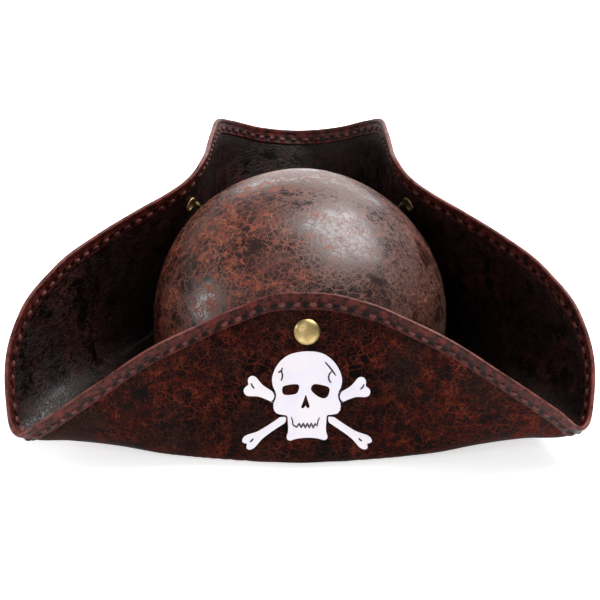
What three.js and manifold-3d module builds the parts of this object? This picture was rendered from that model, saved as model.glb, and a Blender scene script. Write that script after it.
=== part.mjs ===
import * as THREE from 'three';
import { mergeVertices } from 'three/addons/utils/BufferGeometryUtils.js';
import Module from 'manifold-3d';

// Sizes in millimetres. The hat faces -Y and +Z is up.
const CROWN_WIDTH = 186;        // over the ears, outside
const CROWN_LENGTH = 208;       // forehead to nape, outside
const CROWN_HEIGHT = 117.5;     // seam to the top of the dome
const CROWN_UPRIGHT = 27.5;     // near upright wall under the dome
const CROWN_HEM = 3;            // crown wall below the seam
const CROWN_AROUND = 44;        // facets round the crown
const CROWN_STEPS = 9;          // facet rows from the hem to the top
const LEATHER = 2.4;            // thickness of crown and brim
const GAP = 0.3;                // clearance between neighbouring pieces

const BRIM_WIDTH = 118;         // the brim's cut width, and the unit of the fold table
const SEAM_HEIGHT = 9;          // brim seam above the bottom of the front fold
const HUG_HEIGHT = 65;          // where the front flap is snapped to the crown, above the seam
const STATIONS_PER_ROW = 2;     // stations between neighbouring rows of the fold table
const BRIM_STEPS = 8;           // facet rows from the seam to the binding
const RIM_SAMPLES = 120;        // pieces into which a section is cut to measure along it
const FOLD_SHARE = 0.35;        // share of a section past which the flap only rises

const BINDING_DEPTH = 10;       // depth of the edge strip on either face
const BINDING_THICKNESS = 1;
const EDGE_RISE = 0.7;          // rounded edge of the strip, as shares of its thickness
const EDGE_HALF = 0.6;          // and of its half width

const CAP_DIAMETER = 15.5;      // brass cap on the outer face of a flap
const CAP_RISE = 3;
const POST_DIAMETER = 3.6;
const SOCKET_DIAMETER = 12.5;   // socket disc on the inner face of a flap
const SOCKET_THICKNESS = 1.2;
const STUD_DIAMETER = 9;        // stud disc on the crown
const STUD_THICKNESS = 0.9;
const BUTTON_DIAMETER = 5;      // button of the stud, standing up to the socket
const WASHER_DIAMETER = 9;      // washer inside the crown
const WASHER_THICKNESS = 0.8;
const SNAP_GAP = 0.5;           // clearance between a disc and the leather under it
const METAL_AROUND = 16;        // facets round the brass parts

const VINYL = 0.5;              // thickness of the badge
const BADGE_X = 4.5;            // middle of the skull, a little toward +X
const BADGE_DROP = 2.9;         // leather between the front cap and the skull
const BADGE_FOOT = 9.3;         // lowest bone end above the bottom of the front fold
const BADGE_SEAM = 1.2;         // dark line between skull and bones

// The badge fills the flap below the front cap, so these are shares of its height.
const SKULL_HEIGHT = 0.884;
const SKULL_WIDTH = 0.733;
const BONE_NOTCH = 0.5;         // depth of the notch in a bone's end, as a share of its width
const BONE_SWELL = 0.15;        // and how far the end swells past the bone's length

// One row for each section of half the brim, mirrored to the other half.
// angle: degrees round from the front. foldOut, foldRise: where the two straight
// runs of the section would meet, from the seam. crisp: sharpness of that fold.
// rimOut: rim from the crown's wall at HUG_HEIGHT. rimRise: rim above HUG_HEIGHT.
// lift: how much more the rim rises on the +X side. Lengths are shares of BRIM_WIDTH.
const FOLDS = [
  // angle, foldOut, foldRise, crisp, rimOut, rimRise, lift
  [0, 0.28, -0.175, 2.2, -0.025, 0.195, 0.00],
  [10, 0.285, -0.175, 2.2, -0.015, 0.175, 0.01],
  [19, 0.33, -0.17, 2.2, 0.05, 0.13, 0.035],
  [28, 0.42, -0.155, 2.2, 0.20, 0.085, 0.05],
  [36, 0.51, -0.13, 2.2, 0.51, 0.01, 0.05],
  [43, 0.60, -0.09, 2.0, 0.76, -0.165, 0.06],
  [50, 0.72, -0.04, 2.0, 0.93, -0.365, 0.06],
  [55, 0.84, -0.01, 2.0, 1.00, -0.485, 0.035],
  [57.5, 0.86, 0.00, 2.0, 1.00, -0.46, 0.025],
  [60, 0.82, 0.00, 2.0, 0.98, -0.35, 0.01],
  [64, 0.73, 0.00, 2.0, 0.93, -0.205, 0.00],
  [70, 0.58, -0.03, 2.0, 0.80, -0.04, 0.00],
  [78, 0.43, -0.09, 2.0, 0.60, 0.07, 0.00],
  [90, 0.30, -0.15, 2.0, 0.38, 0.13, 0.00],
  [103, 0.21, -0.18, 2.0, 0.17, 0.20, 0.00],
  [114, 0.15, -0.195, 2.2, 0.05, 0.245, 0.00],
  [124, 0.145, -0.19, 2.4, -0.02, 0.30, 0.00],
  [134, 0.145, -0.17, 2.2, -0.01, 0.34, 0.00],
  [146, 0.19, -0.11, 1.9, 0.14, 0.325, 0.00],
  [155, 0.30, -0.06, 1.6, 0.38, 0.305, 0.00],
  [160, 0.36, -0.03, 1.4, 0.57, 0.28, 0.00],
  [164, 0.38, 0.00, 1.3, 0.66, 0.22, 0.00],
  [172, 0.40, 0.02, 1.2, 0.79, 0.10, 0.00],
  [180, 0.41, 0.04, 1.2, 0.87, 0.04, 0.00],
];

// The three snaps: degrees round the crown, and the leather between cap and binding
// as a share of the cap's diameter.
const SNAPS = [
  { name: 'front', angle: -2.5, margin: 0.29 },
  { name: 'left', angle: 127, margin: 0.32 },
  { name: 'right', angle: -127, margin: 0.32 },
];

// Skull outline from the top down: depth and half width as shares of its height
// and width.
const SKULL_OUTLINE = [
  // down, half
  [0.00, 0.13],
  [0.03, 0.27],
  [0.09, 0.41],
  [0.18, 0.485],
  [0.30, 0.50],
  [0.42, 0.485],
  [0.53, 0.45],
  [0.60, 0.485],
  [0.68, 0.48],
  [0.74, 0.36],
  [0.80, 0.295],
  [0.94, 0.285],
  [1.00, 0.22],
];

// Bone outline from the skull outward: share of the way, and width as a share.
const BONE_OUTLINE = [
  // along, width
  [0.00, 1.05],
  [0.40, 0.88],
  [0.58, 1.00],
  [0.74, 1.55],
  [0.88, 1.95],
  [1.00, 1.45],
];

// Bones. side, lean: -1 or 1, in x and upward. slope: degrees off level. As shares of
// the badge's height, crossing: where the bone's line meets the skull's middle line,
// below its top, length: from there to the bone's end, and width.
const BONES = [
  { name: 'upper_left', side: -1, lean: 1, slope: 24, crossing: 0.62, length: 0.70, width: 0.103 },
  { name: 'upper_right', side: 1, lean: 1, slope: 24, crossing: 0.62, length: 0.70, width: 0.103 },
  { name: 'lower_left', side: -1, lean: -1, slope: 34, crossing: 0.51, length: 0.79, width: 0.078 },
  { name: 'lower_right', side: 1, lean: -1, slope: 34, crossing: 0.51, length: 0.79, width: 0.078 },
];

// Openings of the skull as shares of its height: middle from its middle line and
// below its top, half sizes. Then the turn in degrees and the number of corners.
const FACE_HOLES = [
  { x: -0.195, down: 0.427, half: 0.104, tall: 0.058, turn: 10, corners: 14 },
  { x: 0.154, down: 0.445, half: 0.112, tall: 0.072, turn: -16, corners: 14 },
  { x: -0.02, down: 0.577, half: 0.095, tall: 0.055, turn: 90, corners: 3 },
];

const LOOKS = {
  leather: { color: 0x3b1d17, metalness: 0, roughness: 0.45 },
  binding: { color: 0x4f221e, metalness: 0, roughness: 0.45 },
  brass: { color: 0x9a7b3c, metalness: 0.9, roughness: 0.35 },
  vinyl: { color: 0xece8f0, metalness: 0, roughness: 0.5 },
};

const HALVINGS = 40;            // steps by which a place on a curve is closed in on
const BADGE_ROUNDS = 12;

const degrees = (a) => a * Math.PI / 180;

// Value of every column at an angle, along smooth curves through the table's rows.
function sectionAt(angle) {
  const last = FOLDS.length - 1;
  const before = FOLDS[1].slice();
  before[0] = -before[0];
  const after = FOLDS[last - 1].slice();
  after[0] = 2 * FOLDS[last][0] - after[0];
  const rows = [before, ...FOLDS, after];
  const a = Math.abs(angle);
  let k = 1;
  while (k < last && rows[k + 1][0] <= a) {
    k += 1;
  }
  const slope = (i, c) => {
    const left = rows[i][0] - rows[i - 1][0];
    const right = rows[i + 1][0] - rows[i][0];
    const fall = (rows[i][c] - rows[i - 1][c]) / left;
    const rise = (rows[i + 1][c] - rows[i][c]) / right;
    return (fall * right + rise * left) / (left + right);
  };
  const span = rows[k + 1][0] - rows[k][0];
  const s = (a - rows[k][0]) / span;
  const value = (c) => {
    const start = (2 * s ** 3 - 3 * s * s + 1) * rows[k][c];
    const leave = (s ** 3 - 2 * s * s + s) * span * slope(k, c);
    const end = (3 * s * s - 2 * s ** 3) * rows[k + 1][c];
    const arrive = (s ** 3 - s * s) * span * slope(k + 1, c);
    return start + leave + end + arrive;
  };
  const side = angle < 0 ? 1 : 0;
  return {
    foldOut: value(1),
    foldRise: value(2),
    crisp: value(3),
    rimOut: value(4),
    rimRise: value(5) + side * value(6),
  };
}

// Distance from the middle to the crown's wall, in plan.
function crownRadius(angle) {
  const across = Math.sin(degrees(angle)) / (CROWN_WIDTH / 2);
  const along = Math.cos(degrees(angle)) / (CROWN_LENGTH / 2);
  return 1 / Math.hypot(across, along);
}

// Share of the wall's plan size that is left at a height above the seam.
function domeShare(height) {
  const rise = Math.max(0, (height - CROWN_UPRIGHT) / (CROWN_HEIGHT - CROWN_UPRIGHT));
  return Math.sqrt(Math.max(0, 1 - rise * rise));
}

function place(angle, radius, z) {
  const a = degrees(angle);
  return new THREE.Vector3(-radius * Math.sin(a), -radius * Math.cos(a), z);
}

// Point on the middle of the brim sheet: share runs from the seam (0) to the rim (1).
function brimPoint(angle, share) {
  const s = sectionAt(angle);
  const base = crownRadius(angle);
  const seamOut = base + GAP + LEATHER / 2;
  const foldOut = base + s.foldOut * BRIM_WIDTH;
  const rimOut = base * domeShare(HUG_HEIGHT) + s.rimOut * BRIM_WIDTH;
  const start = (1 - share) ** 2;
  const pull = 2 * s.crisp * share * (1 - share);
  const end = share * share;
  const sum = start + pull + end;
  const radius = (start * seamOut + pull * foldOut + end * rimOut) / sum;
  const foldRise = s.foldRise * BRIM_WIDTH;
  const rimRise = HUG_HEIGHT + s.rimRise * BRIM_WIDTH;
  return place(angle, radius, SEAM_HEIGHT + (pull * foldRise + end * rimRise) / sum);
}

// Direction across the sheet, toward the crown.
function brimNormal(angle, share) {
  const turn = 0.4;
  const step = 0.01;
  const low = Math.max(0, share - step);
  const high = Math.min(1, share + step);
  const round = brimPoint(angle + turn, share).sub(brimPoint(angle - turn, share));
  const up = brimPoint(angle, high).sub(brimPoint(angle, low));
  return round.cross(up).normalize();
}

function brimFace(angle, share, offset) {
  return brimPoint(angle, share).addScaledVector(brimNormal(angle, share), offset);
}

// Shares along one section that lie at given distances from the rim.
function sharesFromRim(angle, distances) {
  const travelled = [0];
  let previous = brimPoint(angle, 1);
  for (let i = 1; i <= RIM_SAMPLES; i += 1) {
    const p = brimPoint(angle, 1 - i / RIM_SAMPLES);
    travelled.push(travelled[i - 1] + p.distanceTo(previous));
    previous = p;
  }
  return distances.map((distance) => {
    let i = 1;
    while (i < RIM_SAMPLES && travelled[i] < distance) {
      i += 1;
    }
    const part = (distance - travelled[i - 1]) / (travelled[i] - travelled[i - 1]);
    return 1 - (i - 1 + Math.min(1, part)) / RIM_SAMPLES;
  });
}

// Angles of the stations, once round from the front.
function stationAngles() {
  const half = [];
  for (let i = 0; i < FOLDS.length - 1; i += 1) {
    for (let k = 0; k < STATIONS_PER_ROW; k += 1) {
      const part = k / STATIONS_PER_ROW;
      half.push(FOLDS[i][0] * (1 - part) + FOLDS[i + 1][0] * part);
    }
  }
  const back = FOLDS[FOLDS.length - 1][0];
  const mirrored = half.slice(1).reverse().map((a) => -a);
  return [...half, back, ...mirrored];
}

function geometryOf(points, faces) {
  const geometry = new THREE.BufferGeometry();
  const flat = [];
  points.forEach((p) => flat.push(p.x, p.y, p.z));
  geometry.setAttribute('position', new THREE.Float32BufferAttribute(flat, 3));
  geometry.setIndex(faces.flat());
  geometry.computeVertexNormals();
  return geometry;
}

// Two faces of a four-cornered patch, split along its shorter diagonal.
function patchFaces(points, a, b, c, d) {
  const first = points[a].distanceTo(points[c]);
  const second = points[b].distanceTo(points[d]);
  return first <= second ? [[a, b, c], [a, c, d]] : [[a, b, d], [b, c, d]];
}

// Body through a row of equal loops. A ring of loops meets itself; an open row gets
// flat ends, which join each point of the loop's first half to its partner.
function loopBody(loops, ring) {
  const size = loops[0].length;
  const points = loops.flat();
  const faces = [];
  const rows = ring ? loops.length : loops.length - 1;
  for (let i = 0; i < rows; i += 1) {
    const here = i * size;
    const next = ((i + 1) % loops.length) * size;
    for (let k = 0; k < size; k += 1) {
      const m = (k + 1) % size;
      faces.push(...patchFaces(points, here + k, next + k, next + m, here + m));
    }
  }
  if (!ring) {
    const end = (loops.length - 1) * size;
    for (let k = 0; k < size / 2 - 1; k += 1) {
      const a = size - 1 - k;
      faces.push([k, k + 1, a - 1], [k, a - 1, a]);
      faces.push([end + k, end + a - 1, end + k + 1], [end + k, end + a, end + a - 1]);
    }
  }
  return geometryOf(points, faces);
}

// Body through closed rings with a point at either end.
function cappedBody(first, rings, last) {
  const size = rings[0].length;
  const points = [first, ...rings.flat(), last];
  const tail = points.length - 1;
  const faces = [];
  for (let k = 0; k < size; k += 1) {
    const m = (k + 1) % size;
    faces.push([0, 1 + k, 1 + m]);
    for (let i = 0; i < rings.length - 1; i += 1) {
      const here = 1 + i * size;
      const next = here + size;
      faces.push([here + k, next + k, next + m], [here + k, next + m, here + m]);
    }
    const end = 1 + (rings.length - 1) * size;
    faces.push([end + k, tail, end + m]);
  }
  return geometryOf(points, faces);
}

function crownBody() {
  const dome = CROWN_HEIGHT - CROWN_UPRIGHT;
  const ring = (inset, share, z) => {
    const points = [];
    for (let k = 0; k < CROWN_AROUND; k += 1) {
      const a = 2 * Math.PI * k / CROWN_AROUND;
      const x = (CROWN_WIDTH / 2 - inset) * share * Math.cos(a);
      const y = (CROWN_LENGTH / 2 - inset) * share * Math.sin(a);
      points.push(new THREE.Vector3(x, y, SEAM_HEIGHT + z));
    }
    return points;
  };
  const outer = [];
  const inner = [];
  for (let i = 1; i < CROWN_STEPS; i += 1) {
    const a = degrees(90 * i / CROWN_STEPS);
    outer.push(ring(0, Math.sin(a), CROWN_UPRIGHT + dome * Math.cos(a)));
    inner.push(ring(LEATHER, Math.sin(a), CROWN_UPRIGHT + (dome - LEATHER) * Math.cos(a)));
  }
  outer.push(ring(0, 1, CROWN_UPRIGHT), ring(0, 1, -CROWN_HEM));
  inner.push(ring(LEATHER, 1, CROWN_UPRIGHT), ring(LEATHER, 1, -CROWN_HEM));
  const top = new THREE.Vector3(0, 0, SEAM_HEIGHT + CROWN_HEIGHT);
  const under = new THREE.Vector3(0, 0, SEAM_HEIGHT + CROWN_HEIGHT - LEATHER);
  return cappedBody(top, [...outer, ...inner.reverse()], under);
}

function brimBody(angles) {
  const loops = angles.map((angle) => {
    const [bound, half] = sharesFromRim(angle, [BINDING_DEPTH, BINDING_DEPTH / 2]);
    const shares = [];
    for (let i = 0; i <= BRIM_STEPS; i += 1) {
      shares.push(bound * i / BRIM_STEPS);
    }
    shares.push(half, 1);
    const inner = shares.map((s) => brimFace(angle, s, LEATHER / 2));
    const outer = shares.map((s) => brimFace(angle, s, -LEATHER / 2));
    return [...inner, ...outer.reverse()];
  });
  return loopBody(loops, true);
}

// Strip folded over the rim, with a rounded outer edge.
function bindingBody(angles) {
  const near = LEATHER / 2 + GAP;
  const far = near + BINDING_THICKNESS;
  const loops = angles.map((angle) => {
    const shares = sharesFromRim(angle, [BINDING_DEPTH, BINDING_DEPTH / 2, 0]);
    const rim = brimPoint(angle, 1);
    const across = brimNormal(angle, 1);
    const outward = rim.clone().sub(brimPoint(angle, 0.99)).normalize();
    const beyond = (over, side) => rim.clone()
      .addScaledVector(outward, over)
      .addScaledVector(across, side);
    const innerFace = shares.map((s) => brimFace(angle, s, far));
    const outerFace = shares.map((s) => brimFace(angle, s, -far)).reverse();
    const innerLining = shares.map((s) => brimFace(angle, s, near)).reverse();
    const outerLining = shares.map((s) => brimFace(angle, s, -near));
    const edge = [
      beyond(GAP + BINDING_THICKNESS * EDGE_RISE, far * EDGE_HALF),
      beyond(GAP + BINDING_THICKNESS * EDGE_RISE, -far * EDGE_HALF),
    ];
    const slot = [beyond(GAP, -near), beyond(GAP, near)];
    const lining = [...outerLining.slice(0, 2), ...slot, ...innerLining.slice(1)];
    return [...innerFace, ...edge, ...outerFace, ...lining];
  });
  return loopBody(loops, true);
}

// Body turned about the +Z axis from a profile of radius and height pairs.
function turnedBody(profile, around) {
  const rings = profile.slice(1, -1).map(([r, h]) => {
    const points = [];
    for (let k = 0; k < around; k += 1) {
      const a = 2 * Math.PI * k / around;
      points.push(new THREE.Vector3(r * Math.cos(a), r * Math.sin(a), h));
    }
    return points;
  });
  const first = new THREE.Vector3(0, 0, profile[0][1]);
  const last = new THREE.Vector3(0, 0, profile[profile.length - 1][1]);
  return cappedBody(first, rings, last);
}

function towards(geometry, origin, direction) {
  const turn = new THREE.Quaternion();
  turn.setFromUnitVectors(new THREE.Vector3(0, 0, 1), direction);
  return geometry.applyQuaternion(turn).translate(origin.x, origin.y, origin.z);
}

// Share of the section at which a snap's axis crosses the flap.
function snapShare({ angle, margin }) {
  return sharesFromRim(angle, [BINDING_DEPTH + (margin + 0.5) * CAP_DIAMETER])[0];
}

// Share of a section at which the flap is at a height above the seam.
function flapAt(angle, height) {
  let low = FOLD_SHARE;
  let high = 1;
  for (let i = 0; i < HALVINGS; i += 1) {
    const middle = (low + high) / 2;
    if (brimPoint(angle, middle).z < SEAM_HEIGHT + height) {
      low = middle;
    } else {
      high = middle;
    }
  }
  return low;
}

// How far a faceted face of the flap stands past its middle within a disc. Side is
// 1 toward the crown and -1 away from it. The face is sampled close round the disc.
function bulge(angle, share, radius, side) {
  const near = { angle: 20, share: 0.15, step: 0.03, part: 0.25 };
  const direction = brimNormal(angle, share).multiplyScalar(side);
  const middle = brimPoint(angle, share);
  const stations = stationAngles();
  let most = 0;
  for (let s = -near.share; s <= near.share; s += near.step) {
    const at = Math.min(1, share + s);
    stations.forEach((from, k) => {
      const to = stations[(k + 1) % stations.length];
      if (Math.abs(from - angle) > near.angle) {
        return;
      }
      const start = brimFace(from, at, side * LEATHER / 2);
      const end = brimFace(to, at, side * LEATHER / 2);
      for (let part = 0; part < 1; part += near.part) {
        const p = start.clone().lerp(end, part).sub(middle);
        const up = p.dot(direction);
        if (p.lengthSq() - up * up < radius * radius) {
          most = Math.max(most, up - LEATHER / 2);
        }
      }
    });
  }
  return most;
}

function capProfile(outside, inside) {
  const r = CAP_DIAMETER / 2;
  const under = LEATHER / 2 + outside;
  const over = -(LEATHER / 2 + inside);
  return [
    [0, under + CAP_RISE],
    [r * 0.4, under + CAP_RISE * 0.94],
    [r * 0.72, under + CAP_RISE * 0.72],
    [r * 0.93, under + CAP_RISE * 0.4],
    [r, under + CAP_RISE * 0.12],
    [r * 0.96, under],
    [POST_DIAMETER / 2, under],
    [POST_DIAMETER / 2, over],
    [SOCKET_DIAMETER / 2, over],
    [SOCKET_DIAMETER / 2, over - SOCKET_THICKNESS],
    [0, over - SOCKET_THICKNESS],
  ];
}

// Stud whose button reaches a height over the crown's face.
function studProfile(reach) {
  const facets = CROWN_LENGTH / 2 * (1 - Math.cos(Math.PI / CROWN_AROUND))
    + (CROWN_HEIGHT - CROWN_UPRIGHT) * (1 - Math.cos(Math.PI / 4 / CROWN_STEPS));
  const hollow = WASHER_DIAMETER ** 2 / 4 / CROWN_WIDTH;
  const disc = GAP + STUD_THICKNESS;
  const button = Math.max(reach, disc + GAP);
  const inside = -(LEATHER + GAP + facets + hollow);
  return [
    [0, button],
    [BUTTON_DIAMETER / 2, button],
    [BUTTON_DIAMETER / 2, disc],
    [STUD_DIAMETER / 2, disc],
    [STUD_DIAMETER / 2, GAP],
    [POST_DIAMETER / 2, GAP],
    [POST_DIAMETER / 2, inside],
    [WASHER_DIAMETER / 2, inside],
    [WASHER_DIAMETER / 2, inside - WASHER_THICKNESS],
    [0, inside - WASHER_THICKNESS],
  ];
}

// Post-sized hole along an axis, long enough to pass one wall.
function holeProfile() {
  const r = POST_DIAMETER / 2 + GAP;
  const reach = LEATHER * 2.5;
  return [[0, reach], [r, reach], [r, -reach], [0, -reach]];
}

// Point of the dome straight behind a place on a flap, and the dome's own normal.
function domeBehind(point, direction) {
  const dome = CROWN_HEIGHT - CROWN_UPRIGHT;
  const size = (p) => {
    const rise = Math.max(0, p.z - SEAM_HEIGHT - CROWN_UPRIGHT) / dome;
    return Math.hypot(p.x / (CROWN_WIDTH / 2), p.y / (CROWN_LENGTH / 2), rise);
  };
  let near = 0;
  let far = CROWN_WIDTH / 4;
  for (let i = 0; i < HALVINGS; i += 1) {
    const middle = (near + far) / 2;
    if (size(point.clone().addScaledVector(direction, middle)) > 1) {
      near = middle;
    } else {
      far = middle;
    }
  }
  const foot = point.clone().addScaledVector(direction, near);
  const normal = new THREE.Vector3(
    foot.x / (CROWN_WIDTH / 2) ** 2,
    foot.y / (CROWN_LENGTH / 2) ** 2,
    Math.max(0, foot.z - SEAM_HEIGHT - CROWN_UPRIGHT) / dome ** 2,
  ).normalize();
  return { foot, normal, depth: near };
}

// Point on the flap's outer face in front of x, at a height above the seam.
function badgePoint(x, height, offset) {
  let radius = CROWN_LENGTH / 2;
  let angle = 0;
  let share = 1;
  for (let i = 0; i < BADGE_ROUNDS; i += 1) {
    angle = Math.asin(-x / radius) * 180 / Math.PI;
    share = flapAt(angle, height);
    radius = Math.hypot(brimPoint(angle, share).x, brimPoint(angle, share).y);
  }
  return brimFace(angle, share, -offset);
}

function patchBody(grid) {
  const under = LEATHER / 2 + GAP;
  const loops = grid.map((row) => {
    const top = row.map(([x, h]) => badgePoint(x, h, under + VINYL));
    const bottom = row.map(([x, h]) => badgePoint(x, h, under)).reverse();
    return [...top, ...bottom];
  });
  return loopBody(loops, false);
}

// Top of the skull above the seam, and the height of the whole badge.
function badgeSize() {
  const snap = brimPoint(SNAPS[0].angle, snapShare(SNAPS[0]));
  const top = snap.z - SEAM_HEIGHT - CAP_DIAMETER / 2 - BADGE_DROP;
  return { top, height: top + SEAM_HEIGHT - BADGE_FOOT };
}

function skullGrid({ top, height }) {
  const columns = 8;
  return SKULL_OUTLINE.map(([down, half]) => {
    const row = [];
    for (let k = 0; k <= columns; k += 1) {
      const across = (2 * k / columns - 1) * half * SKULL_WIDTH * height;
      row.push([BADGE_X + across, top - down * SKULL_HEIGHT * height]);
    }
    return row;
  });
}

// Half width of the skull at a share of its height below its top, as a share of its
// width, or nothing past its jaw.
function skullHalf(part) {
  const k = SKULL_OUTLINE.findIndex((row) => row[0] > part);
  if (k < 1) {
    return 0;
  }
  const [from, to] = [SKULL_OUTLINE[k - 1], SKULL_OUTLINE[k]];
  const step = (part - from[0]) / (to[0] - from[0]);
  return from[1] * (1 - step) + to[1] * step;
}

// Bone from the skull outward.
function boneGrid({ top, height }, bone) {
  const columns = 4;
  const boneWidth = bone.width * height;
  const boneLength = bone.length * height;
  const slope = degrees(bone.slope);
  const along = [bone.side * Math.cos(slope), bone.lean * Math.sin(slope)];
  const across = [-along[1], along[0]];
  const at = (d, w) => [
    BADGE_X + d * along[0] + w * across[0],
    top - bone.crossing * height + d * along[1] + w * across[1],
  ];
  const leave = (w) => {
    let d = boneLength;
    while (d > 0) {
      const [x, z] = at(d, w);
      const half = skullHalf((top - z) / (SKULL_HEIGHT * height)) * SKULL_WIDTH * height;
      if (half > 0 && Math.abs(x - BADGE_X) < half + BADGE_SEAM) {
        return d;
      }
      d -= BADGE_SEAM / 8;
    }
    return d;
  };
  return BONE_OUTLINE.map(([part, width]) => {
    const row = [];
    for (let k = 0; k <= columns; k += 1) {
      const s = 2 * k / columns - 1;
      const start = leave(s * boneWidth * BONE_OUTLINE[0][1] / 2);
      const notch = part === 1 ? boneWidth * (BONE_NOTCH * (1 - Math.abs(s)) - BONE_SWELL) : 0;
      const d = start + (boneLength - start) * part - notch;
      row.push(at(d, s * width * boneWidth / 2));
    }
    return row;
  });
}

// Prism along Y through the skull for an eye socket or the nose.
function facePrism(badge, { x, down, half, tall, turn, corners }) {
  const unit = SKULL_HEIGHT * badge.height;
  const outline = new THREE.Shape();
  const c = Math.cos(degrees(turn));
  const s = Math.sin(degrees(turn));
  for (let k = 0; k < corners; k += 1) {
    const a = 2 * Math.PI * k / corners;
    const u = half * Math.cos(a);
    const v = tall * Math.sin(a);
    const px = BADGE_X + (x + u * c - v * s) * unit;
    const pz = SEAM_HEIGHT + badge.top + (u * s + v * c - down) * unit;
    if (k === 0) {
      outline.moveTo(px, pz);
    } else {
      outline.lineTo(px, pz);
    }
  }
  const depth = CROWN_LENGTH / 2 + BRIM_WIDTH;
  const prism = new THREE.ExtrudeGeometry(outline, { depth, bevelEnabled: false });
  return prism.rotateX(Math.PI / 2);
}

const wasm = await Module();
wasm.setup();

function solidOf(geometry) {
  const bare = geometry.clone();
  bare.deleteAttribute('normal');
  bare.deleteAttribute('uv');
  const merged = mergeVertices(bare);
  return new wasm.Manifold(new wasm.Mesh({
    numProp: 3,
    vertProperties: merged.attributes.position.array,
    triVerts: new Uint32Array(merged.index.array),
  }));
}

function geometryFrom(solid) {
  const { vertProperties, triVerts } = solid.getMesh();
  const geometry = new THREE.BufferGeometry();
  geometry.setAttribute('position', new THREE.BufferAttribute(vertProperties, 3));
  geometry.setIndex(new THREE.BufferAttribute(triVerts, 1));
  geometry.computeVertexNormals();
  return geometry;
}

const hat = new THREE.Group();

function add(name, geometry, look) {
  const mesh = new THREE.Mesh(geometry, new THREE.MeshStandardMaterial(look));
  mesh.name = name;
  hat.add(mesh);
}

const angles = stationAngles();
let crown = solidOf(crownBody());
let brim = solidOf(brimBody(angles));

SNAPS.forEach((snap) => {
  const { name, angle } = snap;
  const share = snapShare(snap);
  const middle = brimPoint(angle, share);
  const inward = brimNormal(angle, share);
  const outward = inward.clone().negate();
  const outside = SNAP_GAP + bulge(angle, share, CAP_DIAMETER / 2, -1);
  const inside = SNAP_GAP + bulge(angle, share, SOCKET_DIAMETER / 2, 1);
  const cap = turnedBody(capProfile(outside, inside), METAL_AROUND);
  const hole = turnedBody(holeProfile(), METAL_AROUND);
  add(`snap_cap_${name}`, towards(cap, middle, outward), LOOKS.brass);
  brim = brim.subtract(solidOf(towards(hole, middle, outward)));

  const { foot, normal, depth } = domeBehind(middle, inward);
  const tilt = BUTTON_DIAMETER / 2 * Math.sin(normal.angleTo(outward));
  const reach = depth - LEATHER / 2 - inside - SOCKET_THICKNESS - GAP - tilt;
  const stud = turnedBody(studProfile(reach), METAL_AROUND);
  const bore = turnedBody(holeProfile(), METAL_AROUND);
  add(`snap_stud_${name}`, towards(stud, foot, normal), LOOKS.brass);
  crown = crown.subtract(solidOf(towards(bore, foot, normal)));
});

add('crown', geometryFrom(crown), LOOKS.leather);
add('brim', geometryFrom(brim), LOOKS.leather);
add('edge_binding', bindingBody(angles), LOOKS.binding);

const badge = badgeSize();
let skull = solidOf(patchBody(skullGrid(badge)));
FACE_HOLES.forEach((hole) => {
  skull = skull.subtract(solidOf(facePrism(badge, hole)));
});
add('skull_patch', geometryFrom(skull), LOOKS.vinyl);
BONES.forEach((bone) => {
  add(`bone_patch_${bone.name}`, patchBody(boneGrid(badge, bone)), LOOKS.vinyl);
});

// The whole hat moves so that its box stands centred on the origin.
const box = new THREE.Box3().setFromObject(hat);
const centre = box.getCenter(new THREE.Vector3());
hat.children.forEach((mesh) => mesh.geometry.translate(-centre.x, -centre.y, -box.min.z));

export default hat;
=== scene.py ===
"""Leather tricorn hat: a domed crown, a brim folded up into three snapped flaps, a stitched
edge binding, brass snaps and a white skull and crossbones badge. Lengths are in metres, and
each piece lies in place in the hat's own frame: +Z up, -Y toward the badge."""

import bpy
import numpy as np
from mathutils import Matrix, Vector
from mathutils.geometry import delaunay_2d_cdt


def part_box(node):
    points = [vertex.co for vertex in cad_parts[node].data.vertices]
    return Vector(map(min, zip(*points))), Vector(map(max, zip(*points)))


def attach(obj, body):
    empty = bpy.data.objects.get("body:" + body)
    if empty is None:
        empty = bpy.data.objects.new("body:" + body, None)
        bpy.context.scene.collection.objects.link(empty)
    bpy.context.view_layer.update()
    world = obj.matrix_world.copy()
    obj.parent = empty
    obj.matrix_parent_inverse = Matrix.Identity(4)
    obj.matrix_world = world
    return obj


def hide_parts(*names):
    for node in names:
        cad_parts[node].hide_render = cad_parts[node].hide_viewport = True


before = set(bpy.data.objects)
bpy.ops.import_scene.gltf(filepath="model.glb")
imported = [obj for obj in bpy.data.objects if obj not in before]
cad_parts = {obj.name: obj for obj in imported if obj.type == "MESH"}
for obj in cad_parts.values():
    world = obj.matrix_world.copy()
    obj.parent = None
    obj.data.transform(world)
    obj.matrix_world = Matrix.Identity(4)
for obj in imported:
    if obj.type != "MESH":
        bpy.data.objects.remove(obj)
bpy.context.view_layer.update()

MM = 0.001

# The crown, from the frame and the part's own hem and upright wall
crown_low, crown_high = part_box("crown")
CROWN_HEM = 3 * MM
CROWN_UPRIGHT = 27.5 * MM
CROWN_WIDTH = crown_high.x - crown_low.x
CROWN_LENGTH = crown_high.y - crown_low.y
CROWN_HEIGHT = crown_high.z - crown_low.z - CROWN_HEM
SEAM_Z = crown_low.z + CROWN_HEM
MIDDLE_Y = (crown_low.y + crown_high.y) / 2
CROWN_DENT = 0.5 * MM
DENT_FADE = 20 * MM
LEATHER = 2.4 * MM
GAP = 0.3 * MM

# The brim
BRIM_WIDTH = 118 * MM
HUG_HEIGHT = 65 * MM
SEAM_HEIGHT = 9 * MM
SEAM_TUCK = 0.3 * MM
FOLD_SHARE = 0.35
RIPPLE = 0.25 * MM
BRIM_ROWS = 52
STATIONS_PER_STITCH = 8
RIM_SAMPLES = 120

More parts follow.
